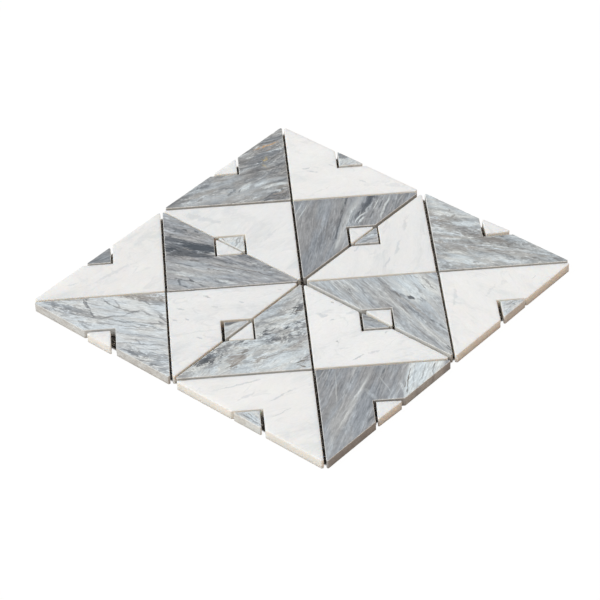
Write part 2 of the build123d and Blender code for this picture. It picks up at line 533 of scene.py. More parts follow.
looks = {
    "edge_grey_1": dict(
        nudge=(0.0, 0.8, 0.0), grain=(24, 11, 2.5, 1.3, 1.3),
        shades=((104, 105, 107), (153, 155, 156), (207, 212, 213)), mix=(0.4, 0.2, 0.4),
        lines=("lead", 0.45, "mist", 0.35), flecks=0.3,
        marks=[
            ("mist", -84, 113, -30, 126, 8, 0.55, 0, 4, 1.6, 0.6), ("mist", -66, 131, -38, 145, 4, 0.5),
            ("lead", -101, 110, -84, 122, 3, 0.7), ("lead", -100, 113, -72, 131, 1.8, 0.7),
            ("taupe", -96, 112, -54, 132, 0.8, 0.5), ("lead", -76, 130, -64, 136, 1.6, 0.7),
            ("lead", -34, 138, -6, 152, 6, 0.65), ("mist", -41, 150, -30, 156, 3, 0.4),
            ("lead", -38, 158, -6, 176, 10, 0.7, 0, 3, 0.8), ("mist", -88, 112, -60, 118, 3, 0.7),
            ("mist", -80, 125, -56, 134, 1.6, 0.8), ("mist", -70, 119, -50, 126, 2.5, 0.6),
            ("mist", -48, 113, -28, 124, 3, 0.6), ("mist", -64, 136, -57, 139, 1.8, 0.7),
            ("mist", -60, 143, -43, 147, 2.2, 0.6), ("chalk", -40, 126, -34, 132, 3.6, 0.85, 0, 1, 1, 0.8),
            ("chalk", -29, 131, -20, 135, 2.6, 0.75, 0, 1, 1.2, 0.8),
            ("chalk", -22, 127, -3, 132, 2.4, 0.75), ("mist", -24, 135, -2, 140, 2.4, 0.6),
            ("mist", -24, 120, -10, 127, 2.2, 0.6), ("slate", -50, 121, -46, 127, 1.6, 0.5, 0, 2, 1.4, 0.8),
            ("slate", -42, 122, -40, 128, 1.2, 0.6), ("umber", -75, 116, -71, 120, 1.5, 0.5),
            ("lead", -58, 128, -46, 131, 1.2, 0.6), ("lead", -24, 106, -1, 122, 5.5, 0.8, 0, 2, 0.9, 0.6),
            ("umber", -20, 107, -1, 120, 4, 0.7, 0, 3, 0.9, 1.3),
            ("slate", -20, 111, -3, 120, 2.6, 0.8, 0, 3, 0.9, 1.3),
            ("slate", -13, 106, -2, 112, 2, 0.7, 0, 2, 0.9, 1.3), ("slate", -26, 109, -1, 128, 0.7, 0.7),
            ("taupe", -14, 117, -3, 122, 1.2, 0.85, 0, 3, 0.9, 1.3),
            ("taupe", -18, 113, -8, 116, 0.9, 0.75, 0, 2, 0.9, 1.3), ("mist", -22, 106, -14, 110, 1.2, 0.6),
            ("taupe", -26, 177, -12, 185, 2.4, 0.4), ("ochre", -21, 184, -6, 190.5, 1, 0.75, 0, 1, 1.4, 0.8),
            ("ochre", -27, 180, -20, 184.5, 1.2, 0.5, 0, 1, 1.4, 0.8),
            ("ochre", -16, 180, -12.5, 182.5, 0.8, 0.55, 0, 1, 1.2, 0.8),
            ("slate", -24, 162, -14, 169, 3, 0.6),
            ("straw", -19, 164.5, -17, 168.5, 1.5, 0.85, 0, 1, 1, 1.2),
            ("straw", -20, 159, -18, 154, 0.9, 0.45, 0, 1, 1.2, 1.2), ("slate", -24, 161, -20, 165, 1, 0.7),
            ("lead", -34, 177, -6, 186, 3, 0.5), ("lead", -12, 182, -1, 189, 2, 0.6),
            ("lead", -14, 171, -4, 178, 1.4, 0.7), ("lead", -14, 195, -1, 200, 1.8, 0.8),
            ("taupe", -9, 201, -1, 207, 2, 0.4), ("mist", -22, 190, -7, 195, 0.8, 0.5),
            ("umber", -10, 125, 2, 131, 3, 0.5), ("lead", -24, 145, -14, 151, 2.6, 0.45),
            ("lead", -66, 122, -57, 127, 2.2, 0.45), ("lead", -90, 113, -80, 117, 2.2, 0.45),
            ("lead", -82, 128, -76, 133, 2, 0.45), ("mist", -34, 117, -22, 122, 2.2, 0.4),
            ("ash", -14, 108.5, -2, 111, 1.6, 0.5)]),
    "centre_grey_1": dict(
        grow=0.7, grain=(-27, 11, 3.6, 1.1, 4.1), shades=((110, 113, 117), (160, 162, 165), (200, 205, 207)),
        # its sawn colour is darker than the usual grey as painted shade on the wall seen in the joint in
        # front of it
        mix=(0.35, 0.4, 0.25), lines=("lead", 0.5, "mist", 0.4), flecks=0.34, sawn=(166, 160, 152),
        marks=[
            ("ash", -106, 92, -66, 64, 7, 0.6, 0, 2, 0.8), ("ash", -106, 101, -84, 80, 4, 0.5),
            ("mist", -105, 103, -98, 94, 2, 0.5), ("lead", -106, 85, -82, 71, 1.6, 0.6),
            ("lead", -98, 80, -70, 63, 1.2, 0.6), ("ash", -88, 74, -68, 62, 1.6, 0.5),
            ("slate", -109, 71, -88, 62, 4.4, 0.85, 0, 2, 0.9),
            ("slate", -109, 59, -64, 47, 9, 0.92, 0, 2, 0.7),
            ("ink", -92, 59, -64, 47, 5.6, 0.85, 0, 2, 0.9),
            ("ink", -107, 57, -95, 52, 2.6, 0.85, 0, 2, 1.6, 0.8),
            ("ink", -94, 64, -84, 59, 1.2, 0.8, 0, 3, 1.6), ("slate", -104, 47, -72, 41, 1.6, 0.6),
            ("mist", -98, 37, -66, 31, 2.4, 0.5), ("taupe", -91, 54, -82, 50, 0.5, 0.8),
            ("ash", -104, 66, -88, 60, 0.7, 0.6), ("ash", -100, 60, -84, 53, 0.8, 0.6),
            ("mist", -109, 36, -64, 18, 4.5, 0.5), ("chalk", -108, 28, -72, 13, 2.4, 0.55),
            ("mist", -108, 10, -50, 3, 5, 0.6), ("mist", -84, 30, -26, 6, 2.6, 0.55),
            ("mist", -72, 35, -28, 15, 1.6, 0.5), ("chalk", -66, 10, -52, 4, 2, 0.6),
            ("lead", -60, 36, -32, 20, 1.8, 0.5), ("lead", -38, 27, -18, 13, 2.2, 0.6),
            ("slate", -26, 23, -12, 13, 1.6, 0.85), ("mist", -30, 12, -6, 3, 2, 0.5),
            ("umber", -84, 38, -18, 8, 0.5, 0.75, 0, 1.5, 0.6), ("mist", -90, 22, -44, 8, 1.8, 0.6),
            ("umber", -84, 30, -44, 14, 0.4, 0.7, 0, 1.5, 0.8), ("lead", -108, 40, -76, 27, 0.7, 0.7),
            ("lead", -106, 18, -76, 7, 0.6, 0.7), ("chalk", -98, 21, -89, 18, 1.3, 0.8),
            ("chalk", -38, 28, -35.5, 27, 0.7, 0.8), ("slate", -97, 13, -95, 7, 1, 0.75),
            ("slate", -88, 14, -85, 9, 1.2, 0.75), ("slate", -93, 6, -89, 3, 0.9, 0.7),
            ("lead", -70, 10, -60, 5, 0.9, 0.7, 2), ("lead", -80, 6, -74, 3, 0.9, 0.7),
            ("lead", -104, 30, -96, 26, 0.8, 0.6), ("slate", -90, 79, -87, 77, 0.9, 0.8),
            ("slate", -81, 76, -78, 73, 1, 0.8), ("slate", -99, 80, -97, 79, 0.8, 0.6),
            ("slate", -108, 48.5, -66, 42, 3, 0.8, 0, 1.5, 0.6, 0.3), ("ash", -72, 58, -66, 54, 2, 0.5),
            ("mist", -90, 36, -72, 31, 2, 0.5)]),
    "centre_grey_4": dict(
        grow=-0.6, grain=(76, 13, 5.0, 0.6, 7.7), shades=((122, 125, 129), (147, 150, 154), (170, 174, 178)),
        # its sawn colour is darker than the usual grey as painted shade on the wall seen in the joint in
        # front of it
        mix=(0.35, 0.45, 0.2), lines=("lead", 0.35, "mist", 0.35), flecks=0.28, sawn=(182, 176, 168),
        marks=[
            ("lead", 12, 38, 34, 76, 7.5, 0.55, 0, 2, 0.8), ("mist", 3, 82, 9, 108, 4, 0.25),
            ("mist", 18, 82, 28, 108, 5, 0.25), ("taupe", 16, 62, 22, 80, 4, 0.25),
            ("chalk", 1, 76, 14, 104, 0.35, 0.8, 0, 0.6, 0.4),
            ("chalk", 1, 86, 8, 104, 0.35, 0.8, 0, 0.6, 0.4),
            ("mist", 9, 90, 16, 106, 0.4, 0.6, 0, 0.6, 0.4),
            ("mist", 31, 44, 57, 112, 4.6, 0.8, -1.5, 1.5, 0.6),
            ("chalk", 29, 38, 35, 56, 1, 0.4, 0, 1, 0.6), ("chalk", 40, 66, 54, 104, 1.4, 0.45),
            ("slate", 28, 42, 41, 92, 0.8, 0.85, 0.6, 1, 0.5),
            ("slate", 37, 84, 46, 108, 1.3, 0.85, 0, 1, 0.6), ("ink", 38, 86, 42, 97, 1, 0.7),
            ("lead", 42, 66, 58, 90, 4, 0.6), ("lead", 33, 70, 40, 90, 1.6, 0.5),
            ("slate", 54, 84, 74, 122, 3.6, 0.9, 0, 1.5, 0.6), ("ink", 60, 94, 72, 118, 2, 0.6),
            ("slate", 47, 74, 58, 92, 1.2, 0.7), ("chalk", 46, 70, 58, 86, 0.8, 0.85, -1.5, 1, 0.5),
            ("chalk", 50, 70, 56, 78, 1.4, 0.7), ("slate", 49, 70, 57, 82, 0.4, 0.85, -1, 1, 0.4),
            ("mist", 57, 82, 66, 98, 1.2, 0.8), ("slate", 59, 72, 66, 92, 1, 0.75),
            ("lead", 62, 80, 74, 108, 1.6, 0.6), ("chalk", 63, 84, 71, 102, 0.6, 0.8),
            ("slate", 67, 82, 75, 104, 0.7, 0.75), ("chalk", 68, 74, 80, 106, 1.2, 0.7),
            ("lead", 72, 80, 78, 96, 0.8, 0.7), ("mist", 76, 82, 86, 104, 0.9, 0.7),
            ("lead", 80, 86, 94, 112, 4, 0.55), ("lead", 64, 92, 70, 108, 1.4, 0.6),
            ("mist", 84, 92, 92, 108, 0.5, 0.6), ("lead", 44, 71, 53, 94, 3, 0.4, 0, 1.5, 0.8),
            ("lead", 59, 70, 64, 92, 2.4, 0.4), ("lead", 27, 48, 32, 62, 2.4, 0.35),
            ("mist", 40, 91, 42, 103, 1.6, 0.45)]),
    "centre_grey_3": dict(
        grow=-0.7, grain=(-62, 11, 4.5, 0.8, 2.9),
        shades=((146, 148, 151), (180, 185, 188), (210, 216, 218)), mix=(0.35, 0.45, 0.2),
        lines=("ash", 0.5, "chalk", 0.5), flecks=0.24,
        marks=[
            ("chalk", 72, -4, 92, -36, 8, 0.9, 0, 3, 1), ("chalk", 88, 0, 106, -30, 7, 0.75, 0, 3, 1.2),
            ("mist", 66, -2, 76, -14, 3, 0.6), ("ash", 22, -4, 44, -38, 4.5, 0.5),
            ("ash", 58, -4, 76, -34, 2.6, 0.65, 0, 2, 0.9), ("ash", 76, -36, 105, -80, 3, 0.7),
            ("taupe", 72, -24, 92, -56, 1.4, 0.6), ("lead", 66, -16, 79, -33, 1.1, 0.6, 0, 2, 0.8),
            ("lead", 78, -40, 94, -64, 1, 0.65), ("umber", 70, -20, 77, -32, 0.5, 0.6),
            ("slate", 80.5, -29, 83.5, -31, 1.9, 0.95, 0, 1, 1),
            ("lead", 74, -25, 78, -28, 1.4, 0.6, 0, 2, 1, 1),
            ("lead", 78, -32, 80, -35, 1.1, 0.6, 0, 2, 1, 1),
            ("lead", 89, -31, 92, -36, 1.6, 0.7, 0, 2, 1, 1.2), ("ash", 86, -13, 91, -25, 1.2, 0.75),
            ("ash", 94, -6, 104, -26, 0.9, 0.75), ("ash", 84, -2, 92, -8, 1.2, 0.6),
            ("lead", 92, -14, 96, -20, 0.6, 0.6), ("lead", 95, -59, 98, -63, 0.8, 0.7),
            ("lead", 100, -65, 104, -72, 0.9, 0.7), ("slate", 102, -92, 105, -96, 1.7, 0.85),
            ("lead", 30, -6, 38, -22, 1.4, 0.6), ("lead", 40, -4, 50, -24, 1, 0.5),
            ("ash", 12, -6, 28, -28, 1.8, 0.5), ("chalk", 34, -2, 44, -22, 0.5, 0.6),
            ("chalk", 22, -4, 32, -20, 0.5, 0.6), ("chalk", 48, -4, 66, -36, 0.7, 0.5),
            ("chalk", 68, -34, 80, -54, 0.6, 0.7), ("chalk", 84, -60, 104, -94, 0.8, 0.75),
            ("mist", 92, -36, 106, -58, 4.5, 0.7), ("mist", 72, -26, 82, -36, 3, 0.35),
            ("lead", 62, -32, 72, -50, 1, 0.45), ("ash", 84, -70, 98, -90, 1.2, 0.6),
            ("lead", 25, -2, 31, -9, 2.2, 0.4), ("lead", 60, -2, 66, -12, 1.8, 0.45),
            ("chalk", 98, -3, 105, -8, 2, 0.5), ("mist", 88, -52, 97, -70, 2, 0.4)]),
    "centre_grey_2": dict(
        grain=(25, 10, 2.4, 1.5, 5.6), shades=((158, 159, 161), (197, 202, 203), (219, 224, 225)),
        mix=(0.45, 0.2, 0.35), lines=("ash", 0.5, "chalk", 0.5), flecks=0.24,
        marks=[
            ("mist", -40, -46, -1, -12, 8, 0.6), ("ash", -42, -38, -2, -20, 2.4, 0.6),
            ("mist", -24, -20, -2, -8, 2.6, 0.8), ("ash", -22, -24, -3, -15, 1, 0.6),
            ("ash", -43, -51, -12, -33, 2.6, 0.75), ("lead", -38, -51, -24, -44, 1, 0.5),
            ("chalk", -36, -46, -4, -38, 1.8, 0.6), ("lead", -9, -37, -2, -29, 4.2, 0.85, 0, 1, 0.8, 0.6),
            ("slate", -9, -34, -3, -31, 3, 0.8, 0, 1, 0.8, 1), ("umber", -9, -37, -3, -36, 1.2, 0.7),
            ("ash", -40, -64, -2, -54, 6, 0.5, 0, 3, 1.6, 0.8),
            ("ash", -40, -72, -2, -66, 4.5, 0.65, 0, 3, 1.4, 0.6),
            ("lead", -37, -62, -29, -57, 3, 0.7, 0, 3, 0.9, 1.3),
            ("slate", -36, -62, -31, -60, 1.2, 0.8, 0, 2, 0.9, 1),
            ("slate", -35, -58, -31, -56, 0.9, 0.7, 0, 2, 0.9, 1), ("mist", -34, -60, -31, -58, 0.8, 0.6),
            ("lead", -31, -69, -6, -64, 2.8, 0.65, 0, 3, 0.9, 1.2),
            ("slate", -29, -69, -14, -66, 1.3, 0.6, 0, 3, 0.9, 1.2),
            ("slate", -23, -60, -17, -57, 0.6, 0.6, 0, 2, 1, 0.9),
            ("ink", -17, -56.5, -14, -54.5, 1.2, 0.95, 0, 1, 0.8),
            ("slate", -12, -53, -2, -47, 1.4, 0.8, 0, 2, 0.9, 1.2),
            ("lead", -12, -60, -1, -52, 3, 0.55, 0, 3, 0.9, 1.2),
            ("lead", -90, -92, -68, -78, 6.5, 0.8, 0, 3, 0.9, 0.9),
            ("slate", -86, -91, -71, -80, 4, 0.75, 0, 3, 0.9, 1.3),
            ("ink", -82, -87, -75, -83, 1.6, 0.8, 0, 3, 0.9, 1.3),
            ("slate", -71, -78, -67, -75, 1.5, 0.85, 0, 1, 1),
            ("slate", -68, -74, -59, -71, 1.5, 0.85, 0, 1.5, 1.2), ("ash", -72, -80, -54, -68, 3.4, 0.7),
            ("lead", -54, -69, -48, -66, 1.1, 0.8), ("slate", -52, -68, -50, -67, 0.7, 0.8),
            ("slate", -49, -71, -47, -70, 0.7, 0.7), ("chalk", -56, -77, -38, -72, 2.6, 0.75),
            ("chalk", -51, -89, -45, -83, 2.4, 0.7), ("ash", -57, -94, -46, -90, 2.4, 0.6),
            ("ash", -44, -87, -36, -82, 2.4, 0.5), ("chalk", -102, -101, -82, -94, 3, 0.6),
            ("taupe", -62, -98, -55, -82, 4, 0.9, 0, 2, 0.9, 0.8),
            ("taupe", -60, -92, -50, -86, 2.4, 0.7, 0, 2, 0.9, 0.8),
            ("umber", -52, -82, -48, -77, 2.2, 0.7, 0, 2, 0.9, 0.9),
            ("taupe", -44, -92, -33, -87, 3, 0.85, 0, 2, 0.9, 0.9), ("umber", -62, -98, -58, -93, 1.4, 0.6),
            ("taupe", -20, -84, -5, -74, 1.8, 0.45, 2, 3, 0.9, 1.3),
            ("umber", -14, -98, -2, -95, 0.6, 0.9, -1.8, 1, 0.4),
            ("umber", -14, -99, -3, -104, 0.6, 0.85, -1.2, 1, 0.4), ("umber", -6, -95, -1, -90, 0.5, 0.8),
            ("ash", -36, -80, -8, -76, 1.6, 0.55), ("chalk", -34, -101, -10, -90, 3, 0.6),
            ("mist", -70, -103, -20, -92, 2, 0.7), ("ash", -84, -97, -68, -90, 2, 0.6),
            ("ash", -104, -104, -90, -99, 1.6, 0.7), ("lead", -38, -46, -20, -52, 2, 0.5),
            ("chalk", -30, -77, -8, -82, 2.2, 0.5), ("chalk", -58, -101, -40, -102, 1.5, 0.4)]),
    "edge_grey_4": dict(
        grain=(-22, 8, 3.0, 1.3, 8.2), shades=((116, 117, 118), (172, 176, 177), (215, 221, 223)),
        mix=(0.45, 0.2, 0.35), lines=("ash", 0.5, "chalk", 0.3), flecks=0.28,
        marks=[
            ("mist", 112, 98, 152, 62, 6, 0.7), ("chalk", 108, 101, 116, 91, 4, 0.6),
            ("chalk", 126, 80, 146, 66, 2.6, 0.5), ("taupe", 108, 70, 152, 36, 7, 0.6, 0, 4, 1.4, 0.8),
            ("taupe", 109, 80, 113, 68, 2, 0.6, 0, 2, 1, 0.9),
            ("stone", 112, 66, 128, 57, 3, 0.6, 0, 3, 1.2, 1),
            ("stone", 132, 52, 150, 38, 4, 0.7, 0, 3, 1.2, 1),
            ("stone", 144, 38, 172, 28, 4.6, 0.7, 0, 3, 1.2, 1),
            ("taupe", 106, 36, 150, 26, 5, 0.6, 0, 4, 1.4, 0.8),
            ("taupe", 140, 26, 200, 8, 4, 0.45, 0, 4, 1.6, 0.8), ("chalk", 110, 86, 124, 80, 2.4, 0.7),
            ("chalk", 114, 77, 127, 73, 2.6, 0.75), ("chalk", 126, 71, 146, 66, 1.8, 0.75),
            ("chalk", 124, 62, 147, 56, 3.4, 0.9, 0, 2, 0.8, 0.4), ("chalk", 110, 52, 122, 48, 2.2, 0.75),
            ("chalk", 114, 43, 129, 39, 1.9, 0.9, 0, 1, 0.7, 0.3), ("mist", 107, 47, 114, 44, 1.4, 0.7),
            ("mist", 134, 32, 146, 29, 1, 0.6), ("stone", 107, 22, 122, 13, 3.6, 0.6, 0, 3, 1.2, 0.8),
            ("stone", 136, 30, 156, 23, 2.6, 0.5, 0, 3, 1.2, 0.8), ("mist", 140, 27, 150, 24, 1.2, 0.7),
            ("chalk", 150, 30, 166, 24, 1, 0.7), ("chalk", 115, 24, 130, 20, 1.8, 0.75),
            ("chalk", 112, 17, 146, 5, 5.4, 0.85, 0, 2, 0.9), ("chalk", 146, 13, 176, 4, 3.2, 0.8),
            ("chalk", 166, 22, 198, 10, 1.4, 0.7), ("stone", 174, 30, 190, 22, 3, 0.5, 0, 3, 1.2, 0.8),
            ("mist", 172, 28, 190, 20, 0.8, 0.6), ("mist", 160, 38, 178, 31, 1.4, 0.6),
            ("taupe", 112, 12, 150, 1, 0.7, 0.7, 0, 2, 0.8), ("taupe", 118, 44, 132, 42, 0.7, 0.7),
            ("umber", 124, 80, 126, 78, 0.8, 0.6), ("stone", 128, 72, 126, 68, 1.2, 0.6),
            ("umber", 122, 64, 126, 60, 1.2, 0.5, 0, 2, 1, 1), ("stone", 134, 66, 139, 65, 1, 0.6),
            ("umber", 135, 38, 139, 35, 1, 0.6), ("slate", 174, 30, 177, 28, 1.1, 0.75, 0, 1, 1, 0.8),
            ("slate", 162, 12, 168, 9.5, 1.8, 0.7, 0, 1, 1, 0.8), ("stone", 136, 10, 139, 8, 1.3, 0.75),
            ("stone", 176, 10, 186, 6, 1.6, 0.5, 0, 2, 1, 1), ("umber", 186, 9, 189, 6, 0.8, 0.5),
            ("stone", 108, 7, 122, 2, 1.4, 0.6, 0, 2, 1.2, 1), ("stone", 150, 24, 153, 20, 1, 0.5),
            ("taupe", 108, 47, 128, 42, 2.4, 0.5), ("taupe", 107, 72, 116, 66, 2.4, 0.45),
            ("ash", 107, 18, 116, 10, 2.6, 0.45), ("ash", 180, 18, 190, 13, 2, 0.5),
            ("mist", 160, 12, 170, 9, 1.8, 0.4), ("mist", 132, 66, 145, 64, 1.6, 0.4)]),
    "edge_grey_3": dict(
        grain=(68, 11, 5.0, 0.5, 3.4), shades=((130, 133, 137), (153, 156, 160), (180, 184, 187)),
        # its sawn colour is darker than the usual grey as painted shade on its shaded front wall
        mix=(0.3, 0.5, 0.2), lines=("lead", 0.35, "mist", 0.5), flecks=0.28, sawn=(158, 151, 143),
        marks=[
            ("chalk", 76.5, -100, 68.5, -150, 5, 1, 0, 0.6, 0.3, 0.2),
            ("chalk", 84, -98, 79, -142, 6, 1, 0, 1, 0.2, 0.1),
            ("chalk", 95, -96, 88, -130, 7, 1, 0, 1, 0.2, 0.1),
            ("chalk", 69, -132, 66, -150, 3.4, 0.95, 0, 0.6, 0.4, 0.2),
            ("ash", 86, -134, 92, -106, 1.4, 0.7), ("mist", 72, -138, 77, -108, 1, 0.6),
            ("ash", 80, -128, 85, -108, 0.8, 0.5), ("umber", 67, -141, 73, -110, 0.45, 0.85, 0, 1.5, 0.6),
            ("umber", 65, -137, 68, -130, 0.35, 0.7, 1), ("umber", 88, -118, 93, -107, 0.35, 0.8),
            ("lead", -1, -116, 12, -105, 6, 0.65), ("mist", 2, -206, 14, -150, 6, 0.35),
            ("mist", 10, -200, 34, -170, 5, 0.25), ("mist", 8, -188, 45, -112, 1.5, 0.7, 2, 1.5, 0.5),
            ("chalk", 24, -150, 40, -122, 1.1, 0.65, 0.6, 1, 0.5), ("mist", 12, -170, 30, -138, 2.2, 0.35),
            ("chalk", 12, -178, 24, -152, 0.6, 0.6, 0, 0.8, 0.5), ("mist", 38, -136, 44, -146, 2, 0.5),
            ("mist", 16, -112, 14, -150, 0.6, 0.7, 0, 0.8, 0.4), ("mist", 2, -120, 9, -108, 0.5, 0.7),
            ("mist", 48, -120, 57, -144, 0.6, 0.7, 0, 0.8, 0.4), ("mist", 56, -126, 61, -109, 0.6, 0.5),
            ("mist", 18, -190, 17, -166, 0.6, 0.55), ("mist", 2, -208, 9, -182, 1.8, 0.6),
            ("slate", 33, -173, 41, -163, 1.2, 0.6), ("slate", 51, -117, 52.5, -113, 0.8, 0.6),
            ("lead", 28, -118, 34, -112, 1, 0.5), ("lead", 2, -118, 10, -126, 3, 0.35),
            ("chalk", 63, -128, 65, -142, 1.4, 0.5)]),
    "edge_grey_2": dict(
        grain=(-20, 10, 3.4, 1.0, 6.9), shades=((168, 169, 171), (209, 214, 216), (223, 228, 230)),
        mix=(0.4, 0.35, 0.25), lines=("ash", 0.4, "chalk", 0.4), flecks=0.22, sawn=(193, 188, 180),
        rim=(210, 209, 205),
        marks=[
            ("ash", -198, -3, -190, -9, 3, 0.75, 0, 2, 1, 0.8), ("ash", -188, -1, -164, -4, 2, 0.5, 0, 2, 1),
            ("ash", -190, -13, -176, -20, 3, 0.6, 0, 2, 1, 0.8),
            ("ash", -189, -9, -160, -25, 5.2, 0.75, 0, 3, 1.2, 0.6),
            ("lead", -186, -11, -170, -19, 2, 0.4, 0, 2, 1.2, 0.8),
            ("ash", -166, -24, -148, -30, 2.2, 0.6, 0, 2, 1),
            ("ash", -158, -27, -110, -46, 0.9, 0.8, 0, 3, 0.7),
            ("ash", -177, -27, -164, -36, 1.2, 0.7, 0, 2, 0.8),
            ("ash", -171.5, 0, -168, -16, 1, 0.8, 0, 1.5, 0.6),
            ("lead", -171.5, 0, -170, -8, 0.5, 0.7, 0, 1, 0.6),
            ("ash", -157, -3, -152, -10, 1, 0.6, 0, 1, 0.6),
            ("ash", -153, -9, -137, -18, 0.7, 0.7, -1, 1.5, 0.6),
            ("mist", -158, -22, -124, -36, 2.6, 0.6, 0, 2, 1),
            ("ash", -148, -5, -143, -13, 0.8, 0.6, 0, 1, 0.6),
            ("taupe", -140, 0, -108, -9, 5.4, 0.8, 0, 3, 1, 0.8),
            ("stone", -132, -3, -110, -11, 2.4, 0.6, 0, 3, 1, 1), ("stone", -142, -1, -134, -4, 1.6, 0.6),
            ("ash", -118, -10, -108, -15, 2.4, 0.7), ("ash", -131, -10, -118, -18, 0.7, 0.7),
            ("chalk", -156, -11, -136, -17, 3, 0.7), ("chalk", -132, -11, -120, -16, 2, 0.7),
            ("chalk", -150, -30, -124, -38, 2.4, 0.6), ("chalk", -128, -28, -114, -34, 2.4, 0.7),
            ("lead", -115, -26, -107, -40, 0.7, 0.7, 0, 1.5, 0.6), ("ash", -114, -25, -107, -38, 1.4, 0.6),
            ("ash", -150, -38, -110, -50, 0.6, 0.6, 0, 2, 0.8),
            ("ash", -147, -46, -120, -54, 0.6, 0.5, 0, 2, 0.8), ("chalk", -146, -43, -108, -53, 2.4, 0.4),
            ("chalk", -118, -58, -108, -66, 2.4, 0.4), ("ash", -147, -58, -110, -66, 0.9, 0.8, 0, 2, 0.8),
            ("ash", -132, -54, -128, -63, 0.9, 0.7), ("ash", -134, -66, -110, -72, 0.9, 0.7, 0, 2, 0.8),
            ("ash", -141, -66, -124, -78, 3.8, 0.8, 0, 2, 1, 0.8),
            ("lead", -139, -68, -130, -75, 1.6, 0.6, 0, 2, 1, 1),
            ("ash", -126, -74, -108, -84, 4.5, 0.7, 0, 2, 1, 0.8),
            ("ash", -128, -80, -108, -92, 3.5, 0.6, 0, 2, 1, 0.8),
            ("lead", -123, -85, -118, -88, 2, 0.75, 0, 1, 1, 0.8),
            ("ash", -120, -90, -108, -98, 2, 0.65, 0, 2, 1, 0.8), ("chalk", -196, -3, -176, -7, 1.8, 0.6),
            ("chalk", -206, -2, -198, -8, 1.6, 0.6),
            ("lead", -170, -1, -166.5, -18, 0.9, 0.8, 0.8, 1.2, 0.5),
            ("lead", -166.5, -17, -164, -24, 1.1, 0.75, 0, 1, 0.6),
            ("lead", -160, -26.5, -140, -25.5, 1, 0.75, -0.5, 1.2, 0.3, 0.1),
            ("lead", -141, -25.5, -126, -20.5, 0.9, 0.7, -0.6, 1, 0.3, 0.1),
            ("ash", -127, -22, -118, -29, 1, 0.8, 0, 1, 0.3, 0.1),
            ("lead", -154, -7, -150.5, -11, 1, 0.7, 0, 0.8, 0.5),
            ("lead", -150.5, -11, -142, -18, 1, 0.8, 0.6, 1, 0.3, 0.1),
            ("lead", -143, -17.5, -127, -24, 1, 0.7, 0.5, 1.2, 0.3, 0.1),
            ("ash", -144, -10, -142.5, -17, 0.8, 0.6, -0.8, 1, 0.5),
            ("lead", -128, -8, -119, -14.5, 0.9, 0.7, 0, 1, 0.4, 0.1),
            ("ash", -119, -14, -109, -17, 0.8, 0.7), ("lead", -113.5, -37, -111, -39, 0.8, 0.8),
            ("ash", -152, -29.5, -128, -36.5, 1.1, 0.85, 0, 1.5, 0.3, 0.1),
            ("ash", -129, -36, -108, -41, 1.1, 0.85, 0, 1.5, 0.3, 0.1),
            ("ash", -176, -28, -169, -38, 1.1, 0.5, 0, 1.2, 0.6),
            ("lead", -198, -3, -193, -8.5, 2.2, 0.6, 0, 1.5, 1, 0.8),
            ("ash", -148, -36, -120, -44, 0.8, 0.6, 0, 1.5, 0.6),
            ("stone", -141, -2.5, -130, -5.5, 2, 0.7, 0, 1.5, 1, 0.6),
            ("ash", -166, -31, -146, -36, 1.4, 0.6), ("ash", -118, -44, -108, -48, 1.6, 0.6),
            ("ash", -136, -77, -126, -82, 2.2, 0.7), ("ash", -189, -18, -181, -22, 2, 0.6),
            ("ash", -206, -2.5, -186, -4, 1.4, 0.6)]),
    "centre_grey_insert_1": dict(
        grow=0.7, nudge=(0.35, -0.2, 0.3), grain=(60, 9, 2.5, 1.0, 2.2),
        shades=((196, 202, 205), (212, 218, 220), (222, 226, 228)), lines=("ash", 0.4, "chalk", 0.3),
        glow=0.4,
        marks=[
            ("taupe", -61, 66.5, -56.5, 58.5, 0.6, 0.9), ("ash", -50, 51, -46, 63, 1.2, 0.6),
            ("ash", -46, 55, -44, 64, 0.6, 0.6)]),
    "centre_grey_insert_2": dict(
        nudge=(0.3, -0.7, -0.4), grain=(28, 9, 2.5, 1.0, 3.2),
        shades=((160, 164, 167), (186, 190, 193), (206, 211, 213)),
        marks=[
            ("slate", -67, -46.5, -50, -43.5, 2.4, 0.9, 0, 0.5, 0.4, 0.2),
            ("chalk", -65, -51, -48, -44, 1.6, 0.7), ("taupe", -64, -60, -58, -54, 1.6, 0.5, 0, 2, 2)]),
    "centre_grey_insert_3": dict(
        nudge=(-0.25, 0.3, 0.3), grain=(-28, 9, 2.5, 1.0, 4.2),
        shades=((142, 146, 150), (166, 171, 175), (190, 196, 200)),
        marks=[
            ("lead", 43, -47, 52, -54, 1.2, 0.6), ("chalk", 44, -54, 60, -62, 0.5, 0.6),
            ("lead", 50, -57, 61, -62, 0.8, 0.6), ("slate", 44, -58, 52, -63, 0.5, 0.6),
            ("chalk", 43, -60, 54, -65, 0.5, 0.5)]),
    "centre_grey_insert_4": dict(
        nudge=(0.3, 0.6, 0.0), grain=(35, 9, 2.5, 1.2, 5.2),
        shades=((154, 158, 161), (180, 184, 187), (206, 211, 213)),
        marks=[
            ("chalk", 52, 50, 65, 54, 1.2, 0.7), ("lead", 50, 45, 62, 48, 1.2, 0.6),
            ("slate", 60, 54, 65, 55, 0.6, 0.6), ("slate", 52, 42, 58, 44, 0.7, 0.6)]),
    "edge_grey_insert_1": dict(
        nudge=(-0.2, 0.9, 0.2), grain=(50, 9, 2.2, 1.4, 6.2),
        shades=((186, 191, 194), (203, 209, 211), (215, 220, 222)), glow=0.3, sawn=(222, 217, 208),
        marks=[
            ("lead", 41, 165, 49, 162, 4, 0.75, 0, 0.5, 0.4, 0.2),
            ("taupe", 43, 160, 52, 168, 0.6, 0.6, 1.5), ("ash", 44, 152, 58, 150, 1.2, 0.5)]),
    "edge_grey_insert_2": dict(
        nudge=(0.6, -0.2, 0.2), grain=(22, 9, 3.0, 1.0, 7.2),
        shades=((112, 115, 118), (134, 137, 140), (162, 166, 169)),
        marks=[
            ("slate", -166, 44, -150, 50, 1.2, 0.6), ("mist", -160, 46, -150, 52, 0.5, 0.5)]),
    "edge_grey_insert_3": dict(
